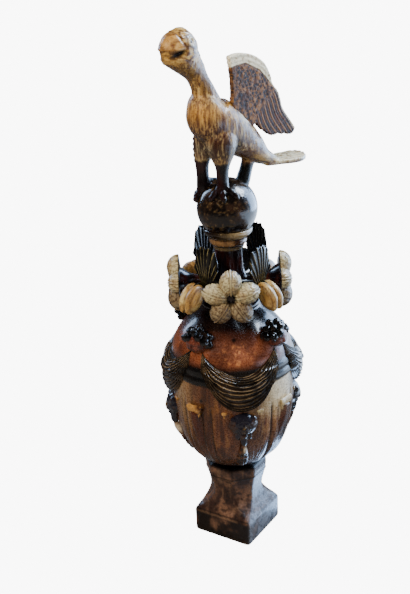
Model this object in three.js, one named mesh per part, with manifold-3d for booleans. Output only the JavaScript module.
// Roof finial of glazed earthenware: a square pedestal, a leaf-clad urn with four lion masks, four putto
// heads and four cloth swags, a crown of four five-petalled flowers, and a long-necked bird on a ball.
// The four fired pieces stack on an iron rod that is not part of the model.
//
// Frame: millimetres, Z up, origin on the axis at the underside. The plinth's faces look along X and Y.
// Bearings are in degrees round the axis, from -Y towards +X.
import * as THREE from 'three';
import { mergeVertices } from 'three/addons/utils/BufferGeometryUtils.js';
import Module from 'manifold-3d';

const wasm = await Module();
wasm.setup();

// ---- overall ----
const JOINT_GAP = 0.3;
const WALL = 14;
const ROD_HOLE_R = 20;

// ---- pedestal ----
const PEDESTAL_H = 207;
const PLINTH_SIDE = 165;
const PLINTH_H = 64;
const WAIST_HALF = 62.8;
const CAP_HALF = 74.5;
const DECK_T = 14;
const DECK_HOLE_R = 28;

// ---- urn; heights above its own foot ----
const URN_H = 433.7;
const URN_TURN = 39.5;
const URN_SEGMENTS = 36;
const FOOT_R = 58;
const MOUTH_R = 58;
const NECK_R = 72;
const BELT_R = 157;
const LEAF_COUNT = 12;
const LEAF_EDGE = 2.6;
const LEAF_GROOVE = 3.4;
const MASK_H = 169.7;
const MASK_R = [29, 33, 28];
const HEAD_H = 379.7;
const HEAD_PROUD = 13.4;
const HEAD_R = [32, 34, 33];
/** How far each head has strayed from its quarter, in degrees, front right first. */
const HEAD_STRAY = [-3, 0, 0, 1];
const SWAG_HALF_ANGLE = 36;
const SWAG_TOP_H = 348.7;
const SWAG_INNER_H = 300.7;
const SWAG_OUTER_H = 213.7;
const SWAG_PROUD = 22;

// ---- flower crown; heights above its own foot ----
const CROWN_H = 193.6;
const CROWN_TURN = 32.4;
const SHAFT_R = 34.5;
const COLLAR_R = 59.5;
const SEAT_R = 56.6;
const SHAFT_BORE_R = 14;
const FLOWER_H = 56.7;
const FLOWER_BACK = 122;
const FLOWER_RING_R = 38;
const PETAL_LONG = 32.5;
const PETAL_WIDE = 26;
const PETAL_DEEP = 29;
const BUD_CENTRE_R = 131;
const BUD_H = 47.7;
const BUD_LONG = 38;
const BUD_WIDE = 25;
const BUD_DROOP = 50;
const FAN_BASE_R = 98;
const FAN_BASE_H = 62.7;
const FAN_H = 102;
const FAN_HALF_W = 38;
const FAN_T = 9;
/** The hand-set fans, front right first: turn in degrees, how far in, how much taller. */
const FAN_SET = [[0, 0, 0], [0, 0, 16], [-6, 8, 16], [5, 14, 2]];

// ---- bird on its ball ----
const BALL_R = 72.6;
const SEAT_EASE = 2;
const BIRD_H = 352.4;
const BALL_WALL = 11;
const BALL_HOLE_R = 12;
const BIRD_BEARING = -20.5;
const WING_S = 28;
const WING_T = 13;
const TAIL_T = 12;
const LEG_R = 14;

const UP = new THREE.Vector3(0, 0, 1);

/** The point at a bearing (degrees), a distance from the axis and a height. */
function polar(bearing, r, z) {
  const a = THREE.MathUtils.degToRad(bearing);
  return new THREE.Vector3(r * Math.sin(a), -r * Math.cos(a), z);
}

/** Value at x on the polyline of [x, y] pairs. */
function along(pairs, x) {
  if (x <= pairs[0][0]) return pairs[0][1];
  for (let i = 1; i < pairs.length; i += 1) {
    if (x <= pairs[i][0]) {
      const t = (x - pairs[i - 1][0]) / (pairs[i][0] - pairs[i - 1][0]);
      return THREE.MathUtils.lerp(pairs[i - 1][1], pairs[i][1], t);
    }
  }
  return pairs[pairs.length - 1][1];
}

/** The geometry with its vertices shared, so that each can be moved without opening the surface. */
function welded(geometry) {
  const bare = geometry.clone();
  bare.deleteAttribute('normal');
  bare.deleteAttribute('uv');
  return mergeVertices(bare, 1e-4);
}

/** Moves every vertex of a closed geometry through place(v). */
function shaped(geometry, place) {
  const g = welded(geometry);
  const position = g.attributes.position;
  const v = new THREE.Vector3();
  for (let i = 0; i < position.count; i += 1) {
    place(v.fromBufferAttribute(position, i));
    position.setXYZ(i, v.x, v.y, v.z);
  }
  return g;
}

/** A solid from a closed geometry, with its faces turned outwards. */
function solid(geometry) {
  const g = welded(geometry);
  const xyz = g.attributes.position.array;
  const index = g.index.array;
  const tris = [];
  const a = new THREE.Vector3();
  const b = new THREE.Vector3();
  const c = new THREE.Vector3();
  let volume = 0;
  for (let i = 0; i < index.length; i += 3) {
    const [p, q, r] = [index[i], index[i + 1], index[i + 2]];
    if (p !== q && q !== r && r !== p) {
      tris.push(p, q, r);
      a.fromArray(xyz, 3 * p);
      b.fromArray(xyz, 3 * q);
      c.fromArray(xyz, 3 * r);
      volume += a.dot(b.cross(c));
    }
  }
  if (volume < 0) {
    tris.reverse();
  }
  const mesh = new wasm.Mesh({
    numProp: 3,
    vertProperties: new Float32Array(xyz),
    triVerts: new Uint32Array(tris),
  });
  return new wasm.Manifold(mesh);
}

/** All the solids joined into one. */
function join(list) {
  return list.reduce((sum, item) => sum.add(item));
}

/** A turned form about Z from [radius, height] pairs that start and end on the axis. */
function turned(pairs, segments) {
  const g = new THREE.LatheGeometry(pairs.map(([r, z]) => new THREE.Vector2(r, z)), segments);
  g.rotateX(Math.PI / 2);
  return g;
}

/** A skin over rows of points; every row has the same number of points round it. */
function skinned(rows) {
  const sides = rows[0].length;
  const last = rows.length - 1;
  const g = new THREE.CylinderGeometry(1, 1, 1, sides, last);
  const centre = (row) => row.reduce((s, p) => s.add(p), new THREE.Vector3()).divideScalar(sides);
  return shaped(g, (v) => {
    const row = rows[Math.round((v.y + 0.5) * last)];
    if (Math.hypot(v.x, v.z) < 0.5) {
      v.copy(centre(row));
    } else {
      const turn = Math.atan2(v.x, v.z) / (2 * Math.PI);
      v.copy(row[((Math.round(turn * sides) % sides) + sides) % sides]);
    }
  });
}

/** A ring of points round a centre, on two half-axes given as vectors. */
function oval(centre, first, second, sides) {
  const row = [];
  for (let i = 0; i < sides; i += 1) {
    const a = (2 * Math.PI * i) / sides;
    row.push(centre.clone().addScaledVector(first, Math.cos(a)).addScaledVector(second, Math.sin(a)));
  }
  return row;
}

/** A limb through stations [point, half-width across, half-depth], its width lying along `across`. */
function limb(stations, across, sides) {
  const rows = stations.map(([point, wide, deep], i) => {
    const before = stations[Math.max(i - 1, 0)][0];
    const after = stations[Math.min(i + 1, stations.length - 1)][0];
    const run = after.clone().sub(before).normalize();
    const side = across.clone().addScaledVector(run, -across.dot(run)).normalize();
    const depth = run.clone().cross(side);
    return oval(point, side.multiplyScalar(wide), depth.multiplyScalar(deep), sides);
  });
  return skinned(rows);
}

/** An egg on three half-axes given as vectors. */
function egg(centre, a, b, c, around, down) {
  return shaped(new THREE.SphereGeometry(1, around, down), (v) => {
    const [x, y, z] = [v.x, v.y, v.z];
    v.copy(centre).addScaledVector(a, x).addScaledVector(b, y).addScaledVector(c, z);
  });
}

/** The three directions at a bearing: outwards, sideways (towards rising bearings) and up. */
function bearingAxes(bearing) {
  const out = polar(bearing, 1, 0);
  const side = polar(bearing + 90, 1, 0);
  return [out, side, UP.clone()];
}

/** A plate of the outline [x, y], `thick` deep, carried to place(x, y, depth). */
function plate(outline, thick, place) {
  const shape = new THREE.Shape(outline.map(([x, y]) => new THREE.Vector2(x, y)));
  const g = new THREE.ExtrudeGeometry(shape, { depth: thick, bevelEnabled: false });
  return shaped(g, (v) => v.copy(place(v.x, v.y, v.z)));
}

/** The named mesh of a finished solid. */
function piece(name, body, colour, roughness) {
  const mesh = body.getMesh();
  const g = new THREE.BufferGeometry();
  g.setAttribute('position', new THREE.BufferAttribute(new Float32Array(mesh.vertProperties), 3));
  g.setIndex(new THREE.BufferAttribute(new Uint32Array(mesh.triVerts), 1));
  g.computeVertexNormals();
  const material = new THREE.MeshStandardMaterial({ color: colour, roughness, metalness: 0 });
  const node = new THREE.Mesh(g, material);
  node.name = name;
  return node;
}

// ---- pedestal: a square plinth that flares in to an eight-sided waist and out to a cap ----

const CORNER_HALF = (PLINTH_SIDE - 3) / Math.SQRT2;
/** Height in the shaft of the pedestal, as a share of it. */
const shaftAt = (share) => PLINTH_H + share * (PEDESTAL_H - PLINTH_H);
/** A row below the waist: how much of the plinth's width is left across the flats and the corners. */
const flare = (share, flat, corner) => [
  shaftAt(share),
  THREE.MathUtils.lerp(WAIST_HALF, PLINTH_SIDE / 2, flat),
  THREE.MathUtils.lerp(WAIST_HALF, CORNER_HALF, corner),
];
/** A row above the waist, on its way out to the cap. */
const swell = (share, out) => {
  const half = THREE.MathUtils.lerp(WAIST_HALF, CAP_HALF, out);
  return [shaftAt(share), half, half];
};
/** Half-widths across the flats and across the corners, by height. */
const pedestalRows = [
  [0, PLINTH_SIDE / 2 - 1.2, CORNER_HALF - 1.6],
  [4, PLINTH_SIDE / 2, CORNER_HALF],
  [PLINTH_H - 4, PLINTH_SIDE / 2, CORNER_HALF],
  [PLINTH_H, PLINTH_SIDE / 2 - 1.5, CORNER_HALF - 2],
  flare(0.056, 0.721, 0.777),
  flare(0.119, 0.492, 0.526),
  flare(0.189, 0.289, 0.332),
  flare(0.273, 0.112, 0.149),
  flare(0.364, 0.01, 0.023),
  flare(0.448, 0, 0),
  swell(0.545, 0.137),
  swell(0.671, 0.513),
  swell(0.776, 0.82),
  swell(0.867, 1),
  [PEDESTAL_H - 6, CAP_HALF, CAP_HALF],
  [PEDESTAL_H, CAP_HALF - 3, CAP_HALF - 3],
];

/** The eight corners of a square with cut corners. */
function cutSquare(z, flat, corner) {
  const short = corner * Math.SQRT2 - flat;
  const row = [];
  for (let k = 0; k < 4; k += 1) {
    const a = (Math.PI / 2) * k;
    const [c, s] = [Math.cos(a), Math.sin(a)];
    row.push(new THREE.Vector3(c * flat - s * -short, s * flat + c * -short, z));
    row.push(new THREE.Vector3(c * flat - s * short, s * flat + c * short, z));
  }
  return row;
}

const pedestalOuter = solid(skinned(pedestalRows.map(([z, f, c]) => cutSquare(z, f, c))));
/** A row of the hollow, its wall `more` times as thick as a plain one. */
const hollow = (share, more) => {
  const z = shaftAt(share);
  const flat = along(pedestalRows.map((row) => [row[0], row[1]]), z) - WALL * more;
  const corner = along(pedestalRows.map((row) => [row[0], row[2]]), z) - WALL * more;
  return [z, flat, corner];
};
const pedestalInnerRows = [
  [-2, PLINTH_SIDE / 2 - WALL, CORNER_HALF - WALL],
  [PLINTH_H - 12, PLINTH_SIDE / 2 - WALL, CORNER_HALF - WALL],
  hollow(0.056, 1),
  hollow(0.196, 1.2),
  hollow(0.427, 1),
  hollow(0.776, 1.08),
  [PEDESTAL_H - DECK_T, CAP_HALF - WALL, CAP_HALF - WALL],
];
const pedestalInner = solid(skinned(pedestalInnerRows.map(([z, f, c]) => cutSquare(z, f, c))));
const deckHole = solid(turned([
  [0, PEDESTAL_H - DECK_T - 5],
  [DECK_HOLE_R, PEDESTAL_H - DECK_T - 5],
  [DECK_HOLE_R, PEDESTAL_H + 5],
  [0, PEDESTAL_H + 5],
], 16));
const pedestal = pedestalOuter.subtract(pedestalInner).subtract(deckHole);

// ---- urn ----

const URN_Z0 = PEDESTAL_H + JOINT_GAP;
const URN_Z1 = URN_Z0 + URN_H;
/** Height in the urn, as a share of its height. */
const urnAt = (share) => URN_Z0 + share * URN_H;

/** Outer profile, [radius, height]. */
const urnProfile = [
  [0, URN_Z0],
  [FOOT_R, URN_Z0],
  [FOOT_R, urnAt(0.0143)],
  [BELT_R * 0.4204, urnAt(0.0166)],
  [BELT_R * 0.5669, urnAt(0.0431)],
  [BELT_R * 0.7261, urnAt(0.1077)],
  [BELT_R * 0.8344, urnAt(0.1769)],
  [BELT_R * 0.9172, urnAt(0.2737)],
  [BELT_R * 0.9618, urnAt(0.4028)],
  [BELT_R * 0.9809, urnAt(0.6057)],
  [BELT_R, urnAt(0.6265)],
  [BELT_R - 1, urnAt(0.7233)],
  [BELT_R * 0.9554, urnAt(0.7371)],
  [BELT_R * 0.9299, urnAt(0.7879)],
  [BELT_R * 0.828, urnAt(0.8593)],
  [BELT_R * 0.6561, urnAt(0.9262)],
  [NECK_R, urnAt(0.9839)],
  [NECK_R, URN_Z1],
  [0, URN_Z1],
];
const urnRadius = urnProfile.slice(3, -2).map(([r, z]) => [z, r]);

/** Height of relief of the leaves that clad the bowl, by bearing and height. */
function leafRelief(bearing, z) {
  const grow = THREE.MathUtils.smoothstep(z, urnAt(0.0339), urnAt(0.1261))
    * (1 - THREE.MathUtils.smoothstep(z, urnAt(0.4789), urnAt(0.5711)));
  const pitch = 360 / LEAF_COUNT;
  const inLeaf = THREE.MathUtils.euclideanModulo(bearing - URN_TURN, pitch) / pitch;
  const toEdge = Math.min(inLeaf, 1 - inLeaf);
  const height = along([[0, -LEAF_GROOVE], [0.3, LEAF_EDGE], [0.5, 0.4]], toEdge);
  return grow * height;
}

const urnOuter = shaped(turned(urnProfile, URN_SEGMENTS).rotateZ(THREE.MathUtils.degToRad(URN_TURN)), (v) => {
  const r = Math.hypot(v.x, v.y);
  if (r > FOOT_R + 2) {
    const bearing = THREE.MathUtils.radToDeg(Math.atan2(v.x, -v.y));
    const k = (r + leafRelief(bearing, v.z)) / r;
    v.x *= k;
    v.y *= k;
  }
});

/** A point of the hollow's outline, `more` walls in from the skin. */
const inside = (share, more) => [along(urnRadius, urnAt(share)) - WALL * more, urnAt(share)];
const urnCavity = turned([
  [0, URN_Z0 - 4],
  [ROD_HOLE_R, URN_Z0 - 4],
  [ROD_HOLE_R, URN_Z0 + WALL + 5.7],
  inside(0.0546, 1.96),
  inside(0.1169, 1.3),
  inside(0.2207, 1.25),
  inside(0.4051, 1.25),
  inside(0.6749, 1.25),
  inside(0.7833, 1.15),
  inside(0.8755, 1.5),
  [MOUTH_R, urnAt(0.9585)],
  [MOUTH_R, URN_Z1 + 4],
  [0, URN_Z1 + 4],
], 12);

/** A lion mask: brow and muzzle in one knob, ears, a beard below it and a hanging leaf down the bowl. */
function lionMask(bearing) {
  const [out, side, up] = bearingAxes(bearing);
  const maskZ = URN_Z0 + MASK_H;
  const skin = along(urnRadius, maskZ);
  const at = (r, s, z) => out.clone().multiplyScalar(r).addScaledVector(side, s).addScaledVector(up, z);
  const below = (share, proud) => at(along(urnRadius, urnAt(share)) + proud, 0, urnAt(share));
  const knob = egg(at(skin - 4.4, 0, maskZ), out.clone().multiplyScalar(MASK_R[0] - 4),
    side.clone().multiplyScalar(MASK_R[1]), up.clone().multiplyScalar(MASK_R[2]), 7, 5);
  const muzzle = egg(at(skin + 9.6, 0, maskZ - 9), out.clone().multiplyScalar(19),
    side.clone().multiplyScalar(17), up.clone().multiplyScalar(15), 6, 4);
  const beard = egg(at(skin - 3.4, 0, maskZ - 36), out.clone().multiplyScalar(17),
    side.clone().multiplyScalar(14), up.clone().multiplyScalar(22), 5, 4);
  const drop = limb([
    [below(0.2829, 1.3), 7, 8],
    [below(0.1792, 1.7), 12, 8],
    [below(0.1169, 1.7), 16, 7],
    [below(0.0754, 1.4), 6, 4],
  ], side, 4);
  return [knob, muzzle, beard, drop].map(solid);
}

/** The rolled tip of a leaf. */
function leafTip(bearing, z, size) {
  const [out, side, up] = bearingAxes(bearing);
  const centre = out.clone().multiplyScalar(along(urnRadius, z) + 0.25 * size);
  centre.addScaledVector(up, z);
  return solid(egg(centre, out.clone().multiplyScalar(0.8 * size), side.clone().multiplyScalar(size),
    up.clone().multiplyScalar(1.15 * size), 5, 3));
}

/** A putto head, looking outwards. */
function puttoHead(bearing) {
  const [out, side, up] = bearingAxes(bearing);
  const headZ = URN_Z0 + HEAD_H;
  const at = (r, s, z) => out.clone().multiplyScalar(r).addScaledVector(side, s).addScaledVector(up, z);
  const skull = egg(at(along(urnRadius, headZ) + HEAD_PROUD, 0, headZ), out.clone().multiplyScalar(HEAD_R[0]),
    side.clone().multiplyScalar(HEAD_R[1]), up.clone().multiplyScalar(HEAD_R[2]), 8, 6);
  return solid(skull);
}

/** A cloth swag that hangs between two heads, thin at its ends and full at its middle. */
function swag(bearing) {
  const rows = [];
  const steps = 8;
  for (let i = 0; i <= steps; i += 1) {
    const t = -1 + (2 * i) / steps;
    const angle = bearing + t * SWAG_HALF_ANGLE;
    const top = URN_Z0 + SWAG_INNER_H + (SWAG_TOP_H - SWAG_INNER_H) * t * t;
    const low = URN_Z0 + SWAG_OUTER_H + (SWAG_TOP_H - 14 - SWAG_OUTER_H) * Math.abs(t) ** 1.9;
    const mid = (top + low) / 2;
    const half = (top - low) / 2;
    const proud = SWAG_PROUD * (1 - 0.62 * t * t) + 2;
    const row = [polar(angle, along(urnRadius, low) - 5, low), polar(angle, along(urnRadius, top) - 5, top)];
    for (const a of [72, 24, -24, -72]) {
      const rad = THREE.MathUtils.degToRad(a);
      const z = mid + half * Math.sin(rad);
      row.push(polar(angle, along(urnRadius, z) + proud * Math.cos(rad) ** 0.8, z));
    }
    rows.push(row);
  }
  return solid(skinned(rows));
}

const urnParts = [solid(urnOuter)];
for (let k = 0; k < 4; k += 1) {
  const front = URN_TURN + 90 * k;
  urnParts.push(...lionMask(front));
  urnParts.push(leafTip(front - 16, urnAt(0.4558), 10));
  urnParts.push(leafTip(front + 16, urnAt(0.4558), 10));
  urnParts.push(leafTip(front + 45, urnAt(0.4628), 18));
  urnParts.push(puttoHead(front + 45 + HEAD_STRAY[k]));
  urnParts.push(swag(front));
}
const urn = join(urnParts).subtract(solid(urnCavity));

// ---- flower crown ----

const CROWN_Z0 = URN_Z1 + JOINT_GAP;
const CROWN_Z1 = CROWN_Z0 + CROWN_H;
const BALL_Z = CROWN_Z1 + Math.sqrt((BALL_R + JOINT_GAP) ** 2 - SEAT_R ** 2);
/** Height in the crown, as a share of its height. */
const crownAt = (share) => CROWN_Z0 + share * CROWN_H;
/** Radius between the shaft's and the neck's. */
const waisted = (share) => THREE.MathUtils.lerp(SHAFT_R, NECK_R, share);
/** A point of the seat, clear of the ball. */
const seat = (r) => [r, BALL_Z - Math.sqrt((BALL_R + SEAT_EASE) ** 2 - r ** 2)];

const crownCore = turned([
  [0, CROWN_Z0],
  [NECK_R + 1, CROWN_Z0],
  [NECK_R + 2, crownAt(0.0449)],
  [waisted(0.6), crownAt(0.1792)],
  [waisted(0.253), crownAt(0.3342)],
  [waisted(0.04), crownAt(0.4375)],
  [SHAFT_R, crownAt(0.7423)],
  [SHAFT_R + 4, crownAt(0.7577)],
  [SHAFT_R + 4, crownAt(0.7887)],
  [COLLAR_R - 13.5, crownAt(0.8197)],
  [COLLAR_R - 13.5, crownAt(0.8765)],
  [COLLAR_R - 4.5, crownAt(0.9075)],
  [COLLAR_R, crownAt(0.9592)],
  [SEAT_R + 1.5, CROWN_Z1],
  [SEAT_R, CROWN_Z1],
  seat(0.81 * SEAT_R),
  seat(0.56 * SEAT_R),
  seat(0),
], 18);
const crownBore = turned([
  [0, CROWN_Z0 - 4],
  [NECK_R - WALL - 2, CROWN_Z0 - 4],
  [NECK_R - WALL - 6, crownAt(0.0863)],
  [waisted(-0.23), crownAt(0.3032)],
  [SHAFT_BORE_R, crownAt(0.5356)],
  [SHAFT_BORE_R, CROWN_Z1],
  [0, CROWN_Z1],
], 10);

/** A five-petalled flower on its stub arm, its back flat and dark. */
function flower(bearing) {
  const [out, side, up] = bearingAxes(bearing);
  const flowerZ = CROWN_Z0 + FLOWER_H;
  const at = (r, s, z) => out.clone().multiplyScalar(r).addScaledVector(side, s).addScaledVector(up, z);
  const parts = [solid(limb([
    [at(SHAFT_R - 4.5, 0, flowerZ - 2), 18, 18],
    [at(FLOWER_BACK - 26, 0, flowerZ), 21, 21],
    [at(FLOWER_BACK + 8, 0, flowerZ), 40, 40],
  ], side, 6))];
  for (let k = 0; k < 5; k += 1) {
    const a = THREE.MathUtils.degToRad(90 + 72 * k);
    const far = side.clone().multiplyScalar(Math.cos(a)).addScaledVector(up, Math.sin(a));
    const wide = far.clone().cross(out);
    const centre = at(FLOWER_BACK, 0, flowerZ).addScaledVector(far, FLOWER_RING_R);
    parts.push(solid(shaped(new THREE.SphereGeometry(1, 6, 5), (v) => {
      const [x, y, z] = [v.x, v.y, v.z];
      const ridge = x > 0 ? 1 - 0.16 * Math.min(1, Math.abs(z) * 1.3) : 1;
      const depth = x > 0 ? PETAL_DEEP * x * ridge : 3 * x;
      v.copy(centre).addScaledVector(out, depth);
      v.addScaledVector(far, PETAL_LONG * y).addScaledVector(wide, PETAL_WIDE * z);
    })));
  }
  return parts;
}

/** A split bud that hangs outwards and down, with the leaf fan that rises from its stem. */
function budAndFan(bearing, [turn, inset, rise]) {
  const [out, side, up] = bearingAxes(bearing);
  const budZ = CROWN_Z0 + BUD_H;
  const at = (r, s, z) => out.clone().multiplyScalar(r).addScaledVector(side, s).addScaledVector(up, z);
  const droop = THREE.MathUtils.degToRad(-BUD_DROOP);
  const long = out.clone().multiplyScalar(Math.cos(droop)).addScaledVector(up, Math.sin(droop));
  const over = side.clone().cross(long);
  const [reach, width, height] = [
    long.clone().multiplyScalar(BUD_LONG),
    side.clone().multiplyScalar(BUD_WIDE - 9),
    over.clone().multiplyScalar(BUD_WIDE),
  ];
  const halves = [-1, 1].map((h) => solid(egg(at(BUD_CENTRE_R, h * 9.5, budZ), reach, width, height, 6, 5)));
  const stem = solid(limb([
    [at(SHAFT_R - 2.5, 0, budZ + 1), 17, 15],
    [at(BUD_CENTRE_R - 47, 0, budZ + 15), 15, 14],
    [at(BUD_CENTRE_R - 14, 0, budZ + 18), 13, 12],
    [at(BUD_CENTRE_R - 2, 0, budZ + 4), 9, 9],
  ], side, 5));
  const half = [
    [8, 0], [14, 0.16], [FAN_HALF_W, 0.42], [32, 0.49], [34, 0.64], [24, 0.77], [23, 0.92], [8, 1],
  ];
  const fanHeight = FAN_H + rise;
  const right = half.map(([x, y]) => [x, y * fanHeight]);
  const [fanOut, fanSide] = bearingAxes(bearing + turn);
  const outline = [...right, ...right.map(([x, y]) => [-x, y]).reverse()];
  const fan = solid(plate(outline, FAN_T, (x, y, depth) => {
    const lean = 0.04 * y + 5 * Math.sin((Math.PI * y) / fanHeight);
    const cup = -0.006 * x * x;
    const r = FAN_BASE_R - inset - FAN_T / 2 + depth + lean + cup;
    const base = fanOut.clone().multiplyScalar(r).addScaledVector(fanSide, x);
    return base.addScaledVector(UP, CROWN_Z0 + FAN_BASE_H + y);
  }));
  return [...halves, stem, fan];
}

const crownParts = [solid(crownCore)];
for (let k = 0; k < 4; k += 1) {
  crownParts.push(...flower(CROWN_TURN + 90 * k));
  crownParts.push(...budAndFan(CROWN_TURN + 45 + 90 * k, FAN_SET[k]));
}
const crown = join(crownParts).subtract(solid(crownBore));

// ---- bird on its ball ----

const [AHEAD, LEFT] = bearingAxes(BIRD_BEARING);
const BIRD_Z0 = BALL_Z + BALL_R;
/** The bird's own lengths below are for a height of 352.4 over the ball. */
const BIRD_SHARE = BIRD_H / 352.4;
/** The point u ahead of the axis, s to the bird's left and z above the ball. */
function birdPoint(u, s, z) {
  return AHEAD.clone().multiplyScalar(u * BIRD_SHARE).addScaledVector(LEFT, s * BIRD_SHARE)
    .addScaledVector(UP, BIRD_Z0 + z * BIRD_SHARE);
}

const ball = solid(new THREE.SphereGeometry(BALL_R, 20, 10).rotateX(Math.PI / 2).translate(0, 0, BALL_Z));
const ballCavity = solid(new THREE.SphereGeometry(BALL_R - BALL_WALL, 8, 6).rotateX(Math.PI / 2)
  .translate(0, 0, BALL_Z));
const ballHole = solid(turned([
  [0, BALL_Z - BALL_R - 5],
  [BALL_HOLE_R, BALL_Z - BALL_R - 5],
  [BALL_HOLE_R, BALL_Z - BALL_R + 25],
  [0, BALL_Z - BALL_R + 25],
], 10));

/** The same as a length and direction alone. */
function birdRun(u, s, z) {
  return birdPoint(u, s, z).addScaledVector(UP, -BIRD_Z0);
}

/** Trunk stations from the tail root to the neck root: ahead, height, half-depth, half-width. */
const trunkStations = [
  [-142, 22.4, 8, 24],
  [-125, 27.4, 15, 28],
  [-100, 39.4, 24, 33],
  [-70, 65.4, 36, 40],
  [-32, 95.4, 47, 47],
  [10, 124.4, 56, 51],
  [43, 149.4, 54, 50],
  [53, 176.4, 43, 42],
  [53, 198.4, 31, 31],
];
/** Neck and head, cut level: ahead, height, half-depth, half-width. */
const neckStations = [
  [50, 184.4, 36, 34],
  [55, 208.4, 28, 27],
  [66, 230.4, 26, 26],
  [75, 242.4, 28, 26],
  [88, 255.4, 35, 29],
  [100, 268.4, 43, 32],
  [110, 279.4, 47.5, 34],
  [116, 296.4, 46, 34],
  [118, 314.4, 45, 33],
  [118, 328.4, 38, 29],
  [117, 341.4, 25, 21],
  [113, 352.4, 10, 10],
];
const trunk = solid(limb(trunkStations.map(([u, z, deep, wide]) => [birdPoint(u, 0, z), wide * BIRD_SHARE,
  deep * BIRD_SHARE]), LEFT, 10));
const neck = solid(skinned(neckStations.map(([u, z, deep, wide]) => oval(birdPoint(u, 0, z),
  birdRun(deep, 0, 0), birdRun(0, wide, 0), 10))));
/** The open gape of the hooked beak. */
const gapeCentre = birdPoint(139, 0, 301.4);
const gape = solid(egg(gapeCentre, birdRun(17, 0, -2), birdRun(0, 60, 0), birdRun(0, 0, 4.5), 8, 6));

/** A thigh and leg from the flank down to the ball, stations [ahead, left, height, radius]. */
function leg(stations) {
  const thick = stations.map(([u, s, z, r]) => [birdPoint(u, s, z), r * BIRD_SHARE, r * BIRD_SHARE]);
  return solid(limb(thick, LEFT, 6));
}
const leftLeg = leg([
  [22, 10, 132.4, 30],
  [28, 20, 96.4, 37],
  [30, 25, 72.4, 33],
  [31, 27, 50.4, 23],
  [31, 27, 32.4, LEG_R + 2],
  [31, 26, 4.4, LEG_R],
  [31, 26, -17.6, LEG_R + 2],
  [29, 24, -35.6, LEG_R - 3],
]);
const rightLeg = leg([
  [24, -10, 132.4, 30],
  [31, -24, 96.4, 34],
  [37, -30, 72.4, 28],
  [42, -33, 50.4, 21],
  [43, -34, 30.4, LEG_R + 2],
  [42, -34, 4.4, LEG_R + 1],
  [40, -34, -21.6, LEG_R + 3],
  [36, -31, -41.6, LEG_R - 3],
]);

/** A clawed foot: three toes that spread down over the ball from the ankle. */
function foot(u, s, spread, knuckle) {
  const parts = [];
  const centre = new THREE.Vector3(0, 0, BALL_Z);
  const start = birdPoint(u, s, 0).setZ(BALL_Z + Math.sqrt(Math.max(BALL_R ** 2 - u * u - s * s, 25)));
  for (const turn of spread) {
    const a = THREE.MathUtils.degToRad(turn);
    const run = birdRun(Math.cos(a), Math.sin(a), 0);
    const stations = [];
    for (const [t, r] of [[-0.1, knuckle], [0.15, knuckle], [0.5, 0.9 * knuckle], [0.72, 0.4 * knuckle]]) {
      const p = start.clone().sub(centre).addScaledVector(run, t * 62).addScaledVector(UP, -t * 34);
      p.normalize().multiplyScalar(BALL_R + 0.25 * r).add(centre);
      stations.push([p, r, 0.85 * r]);
    }
    parts.push(solid(limb(stations, LEFT.clone().add(UP), 5)));
  }
  return parts;
}

/** The raised left wing, an outline of [ahead, height]. */
const wingOutline = [
  [10, 281.4], [-13, 286.4], [-38, 283.4], [-62, 276.4], [-88, 260.4], [-108, 235.4],
  [-116, 206.4], [-134, 187.4], [-142, 166.4], [-148, 144.4], [-166, 121.4], [-184, 99.4],
  [-188, 90.4], [-178, 79.4], [-162, 80.4], [-160, 87.4], [-145, 82.4], [-134, 89.4],
  [-122, 84.4], [-106, 88.4], [-94, 99.4], [-79, 108.4], [-66, 125.4], [-48, 106.4],
  [-20, 116.4], [0, 141.4], [1, 176.4], [0, 211.4], [3, 246.4],
];
const wing = solid(plate(wingOutline, WING_T, (u, z, depth) => {
  const rise = Math.max(0, z - 156.4) / 130;
  return birdPoint(u, WING_S - WING_T / 2 + depth + 4 * rise, z);
}));

/** The right wing, closed along the far flank. */
const closedWing = solid(limb([
  [birdPoint(42, -36, 146.4), 12, 20],
  [birdPoint(12, -43, 128.4), 14, 31],
  [birdPoint(-28, -41, 98.4), 13, 29],
  [birdPoint(-68, -34, 70.4), 11, 21],
  [birdPoint(-104, -27, 46.4), 9, 13],
  [birdPoint(-132, -20, 33.4), 5, 7],
], LEFT, 7));

/** The flat fan of the tail. */
const tail = solid(plate([
  [-108, 24], [-150, 33], [-190, 40], [-216, 37], [-230, 25], [-235, 8], [-235, -8], [-230, -25], [-216, -37],
  [-190, -40], [-150, -33], [-108, -24],
], TAIL_T, (u, s, depth) => {
  const sag = 0.003 * s * s;
  return birdPoint(u, s, 12.4 + depth - sag);
}));

/** The strut from the ball to the underside of the tail root. */
const strut = solid(limb([
  [birdPoint(-72, 0, 42.4), 16, 17],
  [birdPoint(-62, 0, 14.4), 15, 16],
  [birdPoint(-50, 0, -15.6), 18, 17],
  [birdPoint(-40, 0, -35.6), 18, 17],
], LEFT, 8));

const birdBody = join([
  trunk, neck.subtract(gape), leftLeg, rightLeg, wing, closedWing, tail, strut, ball,
  ...foot(31, 24, [-4, 56, 112], 10),
  ...foot(40, -36, [-112, -62, -12, 150], 13),
]);
const bird = birdBody.subtract(ballCavity).subtract(ballHole);

const finial = new THREE.Group();
finial.add(piece('pedestal', pedestal, 0x2b1d18, 0.3));
finial.add(piece('urn', urn, 0x6e3a22, 0.3));
finial.add(piece('flower_crown', crown, 0x8f7a55, 0.35));
finial.add(piece('bird_on_ball', bird, 0xa07f52, 0.35));

export default finial;
